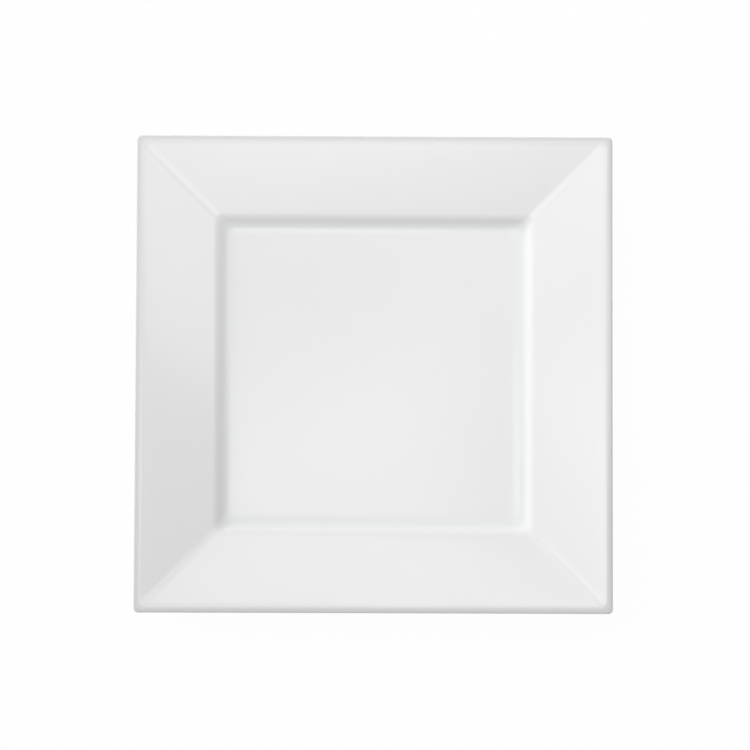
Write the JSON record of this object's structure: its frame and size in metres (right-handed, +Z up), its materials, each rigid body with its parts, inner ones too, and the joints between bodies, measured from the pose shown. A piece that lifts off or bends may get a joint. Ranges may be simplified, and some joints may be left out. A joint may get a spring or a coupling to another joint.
{
  "type": "square serving platter",
  "caption": "Square porcelain serving platter with a broad mitred rim sloping up around a flat sunken well, glazed gloss white and standing on a dry foot ring.",
  "frame": {"origin": "on the table, at the centre of the foot ring", "axes": "+Z up out of the well, +X and +Y square to the sides of the platter"},
  "size_m": [0.305, 0.305, 0.0245],
  "materials": {
    "biscuit": "matte",
    "glaze": "gloss"
  },
  "bodies": {
    "root": {"porcelain_body": "biscuit", "face_glaze": "glaze", "base_glaze": "glaze"}
  },
  "joints": []
}
